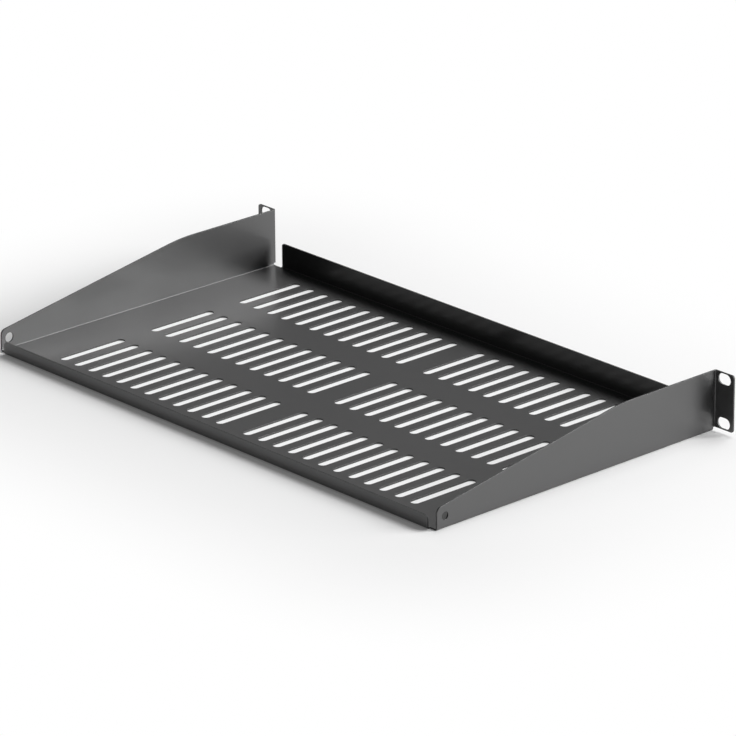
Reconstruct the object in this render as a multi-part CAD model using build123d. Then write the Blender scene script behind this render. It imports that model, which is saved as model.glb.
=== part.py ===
from build123d import *
import os

# Vented 1U rack shelf, folded from one sheet of steel. Millimetres, +Z up.
# The ears bolt to the rack at -Y, the low lip is at +Y, and X = 0 is the middle.

# Rack standard
ear_span = 482.6            # over both ears
slot_rise = 31.75           # between an ear's two slot centres, up

# Sheet and its folds
sheet = 1.2
bend_inside = 0.5           # radius on the inside of every fold
relief_past_fold = 0.8      # how far every corner relief is cut past the folds

# Tray
tray_depth = 260.6          # ears' rack face to the outside of the low lip

# Tall lip between the ears, and low lip at the other end
front_lip_height = 19.3
front_lip_gap = 8.6         # from the lip's end to the outside of the wing
front_lip_corner = 2.0
rear_lip_height = 9.7
rear_lip_gap = 6.7
rear_lip_corner = 3.5

# Side wings
wing_rear_height = 15.6     # where the sloping edge starts, at the low lip
wing_level_length = 91.0    # ears' rack face to where the slope would meet the level
wing_blend = 150.0          # radius between the slope and the level edge
wing_corner = 4.5
wing_hole_from_top = 6.7    # below the start of the slope
wing_hole_from_rear = 9.6   # from the outside of the low lip
wing_hole_right = 7.1       # diameter, in the wing at +X
wing_hole_left = 5.7        # diameter, in the wing at -X

# Ears
ear_width = 17.0            # from the outside of the wing to the ear's end
ear_corner = 2.0
ear_slot_length = 11.5
ear_slot_width = 8.0
ear_slot_from_end = 8.75    # ear's end to the slots' centres, so these are 465.1 apart
ear_slot_from_edge = 4.7    # ear's top and bottom edges to the nearest slot centre

# Vent slots, which run from front to rear
vent_length = 56.9
vent_width = 6.9
vent_rows = 3
vent_columns = 12           # on each side of the middle
vent_middle_gap = 28.1      # between the two columns beside the middle
vent_side_margin = 44.4     # outside of the wing to the last column
vent_front_margin = 16.4    # ears' rack face to the nearest slot end
vent_rear_margin = 21.3     # outside of the low lip to the nearest slot end

# Worked out from the sizes above
bend_outside = bend_inside + sheet
relief = bend_outside + relief_past_fold    # from the outside of a fold
half_width = ear_span / 2 - ear_width
front = -tray_depth / 2
rear = tray_depth / 2
front_cut = front + relief
rear_cut = rear - relief
ear_bottom = relief
ear_height = slot_rise + 2 * ear_slot_from_edge
panel_height = ear_bottom + ear_height      # one rack unit, 43.65
wing_hole_height = wing_rear_height - wing_hole_from_top


def folded_strip(start, run_along, rise_along, run, rise, length):
    """A strip folded once, with its sharp outside corner at start.

    One leg goes run mm one way and the other rise mm the other way. The fold's
    line is square to both, and the strip is length mm long on it.
    """
    b, t = bend_outside, sheet
    outline = make_face([
        Line((run, t), (run, 0)),
        Line((run, 0), (b, 0)),
        CenterArc((b, b), b, 180, 90),
        Line((0, b), (0, rise)),
        Line((0, rise), (t, rise)),
        Line((t, rise), (t, b)),
        CenterArc((b, b), bend_inside, 180, 90),
        Line((b, t), (run, t)),
    ])
    fold_line = Vector(run_along).cross(Vector(rise_along))
    place = Plane(origin=start, x_dir=run_along, z_dir=fold_line)
    return place * extrude(outline, length)


def wing_outline():
    """The side view of a wing, as wide as the whole tray."""
    outline = Plane.YZ * make_face(Polyline(
        (front_cut, 0),
        (rear_cut, 0),
        (rear_cut, wing_rear_height),
        (front + wing_level_length, panel_height),
        (front_cut, panel_height),
        close=True,
    ))
    corners = outline.vertices()
    slope_end = corners.sort_by(lambda v: abs(v.Y - front - wing_level_length))[0]
    outline = fillet(slope_end, wing_blend)
    slope_start = outline.vertices().sort_by(
        lambda v: abs(v.Y - rear_cut) + abs(v.Z - wing_rear_height))[0]
    outline = fillet(slope_start, wing_corner)
    return extrude(outline, half_width, both=True)


def right_half_of_tray():
    """Half of the floor with the side wing that is folded up from it."""
    side = folded_strip((half_width, front_cut, 0), (-1, 0, 0), (0, 0, 1),
                        half_width, panel_height, rear_cut - front_cut)
    return side & wing_outline()


def right_ear():
    """The ear, folded outward from the tall end of the wing, with its two slots."""
    wing_inside = half_width - sheet
    ear = folded_strip((wing_inside, front, ear_bottom), (1, 0, 0), (0, 1, 0),
                       sheet + ear_width, 2 * relief, ear_height)
    ear = fillet(ear.edges().filter_by(Axis.Y).group_by(Axis.X)[-1], ear_corner)
    slot = Plane.XZ * extrude(SlotOverall(ear_slot_length, ear_slot_width), sheet, both=True)
    low_slot = Pos(ear_span / 2 - ear_slot_from_end, front, ear_bottom + ear_slot_from_edge)
    return ear - low_slot * slot - Pos(0, 0, slot_rise) * low_slot * slot


def lip(edge_y, inward, height, gap, corner):
    """An upturned lip across one end of the floor, with rounded top corners."""
    half = half_width - gap
    strip = folded_strip((-inward * half, edge_y, 0), (0, inward, 0), (0, 0, 1),
                         2 * relief, height, 2 * half)
    return fillet(strip.edges().filter_by(Axis.Y).group_by(Axis.Z)[-1], corner)


def vent_places():
    """The middle of each vent slot."""
    first_y = front + vent_front_margin + vent_length / 2
    last_y = rear - vent_rear_margin - vent_length / 2
    first_x = vent_middle_gap / 2
    last_x = half_width - vent_side_margin
    for row in range(vent_rows):
        y = first_y + (last_y - first_y) * row / (vent_rows - 1)
        for column in range(vent_columns):
            x = first_x + (last_x - first_x) * column / (vent_columns - 1)
            yield Pos(-x, y, 0)
            yield Pos(x, y, 0)


def wing_hole(side, diameter):
    """A cutter for the round hole near the low end of one wing."""
    place = Pos(side * half_width, rear - wing_hole_from_rear, wing_hole_height)
    return place * Rot(0, 90, 0) * Cylinder(diameter / 2, 4 * sheet)


def round_relief_corners(shelf):
    """Rounds the inner corner between each relief and the end of its lip."""
    places = [(half_width - front_lip_gap, front_cut), (half_width - rear_lip_gap, rear_cut)]
    corners = [edge for edge in shelf.edges().filter_by(Axis.Z) for x, y in places
               if abs(abs(edge.center().X) - x) < 0.01 and abs(edge.center().Y - y) < 0.01]
    return fillet(corners, relief_past_fold / 2)


def make_shelf():
    """The whole shelf as one solid."""
    half = right_half_of_tray() + right_ear()
    shelf = half + mirror(half, about=Plane.YZ)
    shelf += lip(front, 1, front_lip_height, front_lip_gap, front_lip_corner)
    shelf += lip(rear, -1, rear_lip_height, rear_lip_gap, rear_lip_corner)
    shelf = round_relief_corners(shelf)
    vent = extrude(SlotOverall(vent_length, vent_width, rotation=90), 2 * sheet, both=True)
    shelf -= [place * vent for place in vent_places()]
    shelf -= [wing_hole(1, wing_hole_right), wing_hole(-1, wing_hole_left)]
    return shelf


shelf = make_shelf()
solids = shelf.solids()
if len(solids) != 1:
    raise ValueError(f"the shelf came out as {len(solids)} solids")
os.makedirs("parts", exist_ok=True)
export_step(solids[0], "parts/shelf.step")
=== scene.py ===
import math

import bpy
from mathutils import Matrix

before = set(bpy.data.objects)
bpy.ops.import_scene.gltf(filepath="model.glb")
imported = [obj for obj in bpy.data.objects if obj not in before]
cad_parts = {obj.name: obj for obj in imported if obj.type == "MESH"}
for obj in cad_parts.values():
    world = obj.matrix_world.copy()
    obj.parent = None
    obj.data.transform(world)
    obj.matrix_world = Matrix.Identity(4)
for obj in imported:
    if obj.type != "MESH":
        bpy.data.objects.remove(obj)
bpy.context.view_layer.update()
scene = bpy.context.scene
scene.view_settings.view_transform = "Standard"

# Camera, as fitted to the photograph's slots and edges. Metres, degrees and millimetres.
EYE = (-2.52563, 2.28303, 1.32764)
AZIMUTH = 227.6756          # round the shelf, from the camera looking along +Y
ELEVATION = 21.0668         # above the floor
ROLL = -0.3709
LENS = 259.252
SENSOR = 36.0

# Powder coat, in metres
COAT_COLOUR = (0.008, 0.008, 0.0085)
COAT_ROUGHNESS = 0.48       # of its body
COAT_UNEVENNESS = 0.03      # how far that strays either way, in soft clouds
COAT_IOR = 1.8
CUT_ROUGHNESS = 0.85        # where the sheet was cut through
SKIN_WEIGHT = 0.5           # the smoother skin over it
SKIN_ROUGHNESS = 0.2
SKIN_IOR = 1.5
CLOUDS_PER_METRE = 14.0
GRAIN_SIZE = 0.0007         # between the bumps of the coat's texture
GRAIN_HEIGHT = 0.00003
EDGE_RADIUS = 0.0001        # the coat rounds every cut edge this much
EDGE_ANGLE = 35             # degrees, above which an edge is rounded

# Sheet, in metres
SHEET = 0.0012              # its thickness
WING_OUTSIDE = 0.2243       # from the middle
LIP_OUTSIDE = 0.1303
NEARLY_SQUARE = 0.2         # largest share of a cut face's normal across the sheet
TOUCHING = 1e-6             # points this close are one point

# Studio, in metres. A lamp's level is how bright it makes a white card that faces it.
LAMP_SIZE = 2.4
LAMP_DISTANCE = 5.0
LAMPS = {                   # bearing from +X and height in degrees, and level
    "key_low": (222, 12, 0.66),
    "key_high": (222, 30, 0.84),
    "front": (270, 55, 0.35),
    "far": (318, 45, 0.1),
    "top": (0, 88, 0.03),
}
STUDIO_LEVEL = 0.08
FLOOR_HALF = 30.0
FLOOR_GAP = 0.0002          # between the floor and the shelf
FLOOR_COLOUR = (0.9, 0.9, 0.9)
FLOOR_LIFT = 0.08           # how far the floor is lifted towards white beside the shelf
VENT_PAINTED_LIGHT = 0.5             # painted light: the same lift below the shelf, where the floor in its shadow shows through the vents
FOLD_MARGIN = 0.005         # that stops this far inside the walls, where the folds hide it
WHITE_FROM = 0.2            # from there to where the floor is white all over


# Materials

def node_tree(material):
    """Empties a node tree, and gives two helpers that add a node to it.

    add takes the node's inputs by name and returns the node. join adds a node for
    arithmetic, takes its inputs in order and returns its result.
    """
    material.use_nodes = True
    tree = material.node_tree
    tree.nodes.clear()

    def feed(socket, value):
        if isinstance(value, bpy.types.NodeSocket):
            tree.links.new(value, socket)
        else:
            socket.default_value = value

    def add(kind, **inputs):
        node = tree.nodes.new(kind)
        for name, value in inputs.items():
            feed(node.inputs[name.replace("_", " ")], value)
        return node

    def join(operation, *values, vector=False):
        node = tree.nodes.new("ShaderNodeVectorMath" if vector else "ShaderNodeMath")
        node.operation = operation
        for socket, value in zip(node.inputs, values):
            feed(socket, value)
        return next(socket for socket in node.outputs if socket.enabled)

    return add, join


def cut_faces(place, normal, add, join):
    """1 on the faces where the sheet was cut through, and 0 on its two sides.

    They lie between the two sides of a wall or the floor, and square to them.
    """
    place = add("ShaderNodeSeparateXYZ", Vector=join("ABSOLUTE", place, vector=True)).outputs
    normal = add("ShaderNodeSeparateXYZ", Vector=normal).outputs
    cut = 0.0
    for axis, outside in zip("XYZ", (WING_OUTSIDE, LIP_OUTSIDE, SHEET)):
        between = join("COMPARE", place[axis], outside - SHEET / 2, SHEET / 2)
        square = join("COMPARE", normal[axis], 0.0, NEARLY_SQUARE)
        cut = join("MAXIMUM", cut, join("MULTIPLY", between, square))
    return cut


def powder_coat():
    """Satin black powder coat, with its fine bumps and faint unevenness.

    It is thin and dull on the cut faces.
    """
    material = bpy.data.materials.new("powder_coat_satin")
    add, join = node_tree(material)
    texture = add("ShaderNodeTexCoord").outputs
    grain = add("ShaderNodeTexNoise", Vector=texture["Object"], Scale=1 / GRAIN_SIZE,
                Detail=2.0, Roughness=0.6).outputs["Fac"]
    cloud = add("ShaderNodeTexNoise", Vector=texture["Object"], Scale=CLOUDS_PER_METRE,
                Detail=3.0, Roughness=0.55).outputs["Fac"]
    rough = add("ShaderNodeMapRange", Value=cloud, From_Min=0.3, From_Max=0.7,
                To_Min=COAT_ROUGHNESS - COAT_UNEVENNESS,
                To_Max=COAT_ROUGHNESS + COAT_UNEVENNESS).outputs["Result"]
    cut = cut_faces(texture["Object"], texture["Normal"], add, join)
    rough = join("MAXIMUM", rough, join("MULTIPLY", cut, CUT_ROUGHNESS))
    bump = add("ShaderNodeBump", Height=grain, Distance=GRAIN_HEIGHT,
               Strength=1.0).outputs["Normal"]
    shader = add("ShaderNodeBsdfPrincipled", Base_Color=(*COAT_COLOUR, 1.0),
                 Roughness=rough, Normal=bump, IOR=COAT_IOR, Coat_Weight=SKIN_WEIGHT,
                 Coat_Roughness=SKIN_ROUGHNESS, Coat_IOR=SKIN_IOR, Coat_Normal=bump)
    add("ShaderNodeOutputMaterial", Surface=shader.outputs["BSDF"])
    return material


def white_floor():
    """A pale floor that keeps the shelf's shadow.

    The camera, and reflections with it, see it lifted towards plain white: a little beside
    the shelf, more through its vents as painted light on the shelf's shadow below it, and
    all the way further off.
    """
    material = bpy.data.materials.new("floor_white")
    add, join = node_tree(material)
    path = add("ShaderNodeLightPath").outputs
    seen = join("MAXIMUM", path["Is Camera Ray"], path["Is Glossy Ray"])
    seen = join("MAXIMUM", seen, path["Is Transmission Ray"])
    place = join("ABSOLUTE", add("ShaderNodeTexCoord").outputs["Object"], vector=True)
    half_size = (WING_OUTSIDE - FOLD_MARGIN, LIP_OUTSIDE - FOLD_MARGIN, 0.0)
    beyond = join("SUBTRACT", place, half_size, vector=True)
    beyond = join("MAXIMUM", beyond, (0.0, 0.0, 0.0), vector=True)
    distance = join("LENGTH", beyond, vector=True)
    fade = add("ShaderNodeMapRange", Value=distance, From_Max=WHITE_FROM, To_Min=FLOOR_LIFT)
    fade.interpolation_type = "SMOOTHSTEP"
    # painted light: the floor below the shelf, in its shadow, is lifted further towards
    # white
    painted_light_under = join("MULTIPLY", join("LESS_THAN", distance, TOUCHING), VENT_PAINTED_LIGHT)
    lift = join("MAXIMUM", fade.outputs["Result"], painted_light_under)
    lit = add("ShaderNodeBsdfDiffuse", Color=(*FLOOR_COLOUR, 1.0)).outputs["BSDF"]
    white = add("ShaderNodeEmission", Strength=1.0).outputs["Emission"]
    mix = add("ShaderNodeMixShader", Fac=join("MULTIPLY", seen, lift))
    material.node_tree.links.new(lit, mix.inputs[1])
    material.node_tree.links.new(white, mix.inputs[2])
    add("ShaderNodeOutputMaterial", Surface=mix.outputs["Shader"])
    return material


# Scene

def make_camera():
    """The photograph's camera."""
    camera = bpy.data.objects.new("camera", bpy.data.cameras.new("camera"))
    scene.collection.objects.link(camera)
    camera.data.sensor_width = SENSOR
    camera.data.lens = LENS
    turn = (Matrix.Rotation(math.radians(AZIMUTH), 4, "Z")
            @ Matrix.Rotation(math.radians(90 - ELEVATION), 4, "X")
            @ Matrix.Rotation(math.radians(ROLL), 4, "Z"))
    camera.matrix_world = Matrix.Translation(EYE) @ turn
    scene.camera = camera


def make_lamp(name, bearing, height, level):
    """A square softbox that faces the shelf."""
    lamp = bpy.data.lights.new(name, "AREA")
    lamp.shape = "SQUARE"
    lamp.size = LAMP_SIZE
    lamp.energy = level * (math.pi * LAMP_DISTANCE) ** 2
    holder = bpy.data.objects.new(name, lamp)
    scene.collection.objects.link(holder)
    turn = (Matrix.Rotation(math.radians(bearing + 90), 4, "Z")
            @ Matrix.Rotation(math.radians(90 - height), 4, "X"))
    holder.matrix_world = turn @ Matrix.Translation((0, 0, LAMP_DISTANCE))


def make_world(ambient):
    """A plain grey studio all round."""
    world = bpy.data.worlds.new("studio")
    scene.world = world
    add, _ = node_tree(world)
    back = add("ShaderNodeBackground", Color=(1.0, 1.0, 1.0, 1.0), Strength=ambient)
    add("ShaderNodeOutputWorld", Surface=back.outputs["Background"])


def make_floor():
    """The floor that the shelf stands on."""
    half = FLOOR_HALF
    mesh = bpy.data.meshes.new("floor")
    corners = [(-half, -half, 0), (half, -half, 0), (half, half, 0), (-half, half, 0)]
    mesh.from_pydata(corners, [], [(0, 1, 2, 3)])
    floor = bpy.data.objects.new("floor", mesh)
    scene.collection.objects.link(floor)
    floor.location.z = -FLOOR_GAP
    mesh.materials.append(white_floor())


def dress(node):
    """Gives the shelf its finish and rounds its cut edges."""
    node.material_slots[0].material = powder_coat()
    weld = node.modifiers.new("join", "WELD")
    weld.merge_threshold = TOUCHING
    bevel = node.modifiers.new("edges", "BEVEL")
    bevel.width = EDGE_RADIUS
    bevel.segments = 2
    bevel.limit_method = "ANGLE"
    bevel.angle_limit = math.radians(EDGE_ANGLE)
    bevel.use_clamp_overlap = False
    bevel.loop_slide = False
    normals = node.modifiers.new("normals", "WEIGHTED_NORMAL")
    normals.mode = "FACE_AREA"
    normals.weight = 100


make_camera()
make_world(STUDIO_LEVEL)
make_floor()
for name, setting in LAMPS.items():
    make_lamp(name, *setting)
dress(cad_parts["shelf"])
